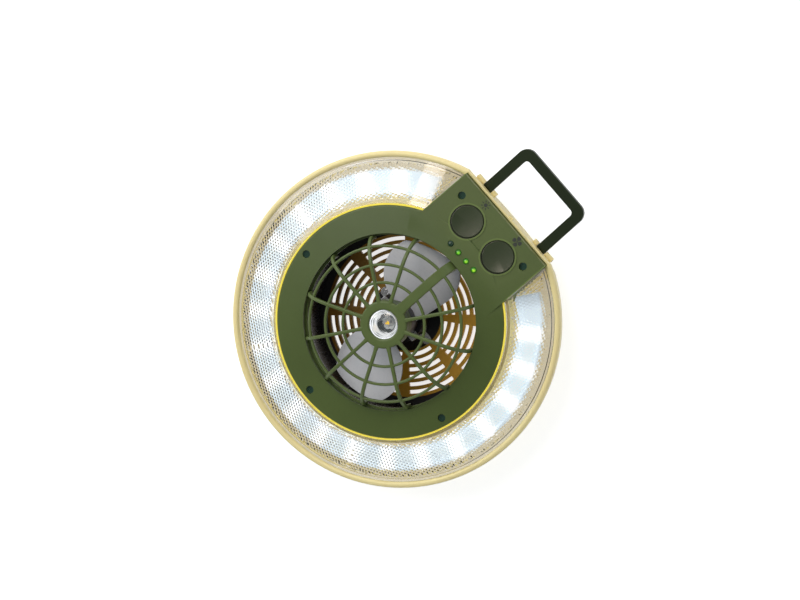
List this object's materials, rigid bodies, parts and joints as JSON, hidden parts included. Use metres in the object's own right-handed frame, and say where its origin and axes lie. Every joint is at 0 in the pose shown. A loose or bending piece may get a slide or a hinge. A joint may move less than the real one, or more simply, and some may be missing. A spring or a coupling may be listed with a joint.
{
  "type": "portable camping fan",
  "caption": "Round camping fan with a C-shaped ring of lights, a domed grille with a spot light, two dished push buttons, battery lights and a folding bail.",
  "frame": {"origin": "centre of the flat rest face on the back, on the fan axis", "axes": "+Z along the fan axis out of the front, +Y towards the control panel and the bail, +X to the fan button's side"},
  "size_m": [0.24, 0.274, 0.0707],
  "materials": {
    "tan_plastic": "satin",
    "green_plastic": "satin",
    "cage_plastic": "satin",
    "dark_green_plastic": "satin",
    "bail_plastic": "satin",
    "charcoal_plastic": "gloss",
    "grey_plastic": "satin",
    "clear_plastic": "gloss",
    "white_plastic": "satin",
    "circuit_board": "satin",
    "led_face": "gloss",
    "bright_metal": "polished",
    "steel": "satin",
    "brass": "satin",
    "cell_wrap": "satin",
    "wire_cover": "matte"
  },
  "bodies": {
    "body": {"rear_housing": "tan_plastic", "rear_grille": "tan_plastic", "front_cover": "green_plastic", "front_grille": "cage_plastic", "spot_cap": "cage_plastic", "fan_duct": "charcoal_plastic", "motor_housing": "charcoal_plastic", "charge_socket": "charcoal_plastic", "tact_switches": "charcoal_plastic", "lens_ring": "clear_plastic", "spot_lens": "clear_plastic", "light_tray": "white_plastic", "motor_end_cap": "white_plastic", "control_board": "circuit_board", "led_board": "circuit_board", "spot_board": "circuit_board", "ring_leds": "led_face", "spot_led": "led_face", "indicator_lights": "led_face", "spot_reflector": "bright_metal", "motor_strap": "steel", "motor_screws": "steel", "motor_can": "steel", "board_screws": "steel", "handle_pins": "steel", "cover_screws": "steel", "motor_magnets": "steel", "motor_bushings": "brass", "battery_cells": "cell_wrap", "spot_leads": "wire_cover", "motor_leads": "wire_cover"},
    "rotor": {"impeller": "grey_plastic", "motor_shaft": "steel", "armature": "steel"},
    "light_switch": {"light_button": "dark_green_plastic"},
    "fan_switch": {"fan_button": "dark_green_plastic"},
    "bail": {"handle": "bail_plastic"}
  },
  "joints": [
    {"name": "fan_spin", "type": "hinge", "parent": "body", "child": "rotor", "pos_m": [0, 0, 0.038], "axis": [0, 0, 1], "continuous": true},
    {"name": "light_button_press", "type": "slide", "parent": "body", "child": "light_switch", "axis": [0, 0.2588, 0.9659], "range_m": [-0.0008, 0], "stiffness_N_per_m": 800, "springref_m": 0.0005},
    {"name": "fan_button_press", "type": "slide", "parent": "body", "child": "fan_switch", "axis": [0, 0.2588, 0.9659], "range_m": [-0.0008, 0], "stiffness_N_per_m": 800, "springref_m": 0.0005},
    {"name": "bail_swing", "type": "hinge", "parent": "body", "child": "bail", "pos_m": [0.0023, 0.112, 0.026], "axis": [1, 0, 0], "range_deg": [-90, 60]}
  ]
}
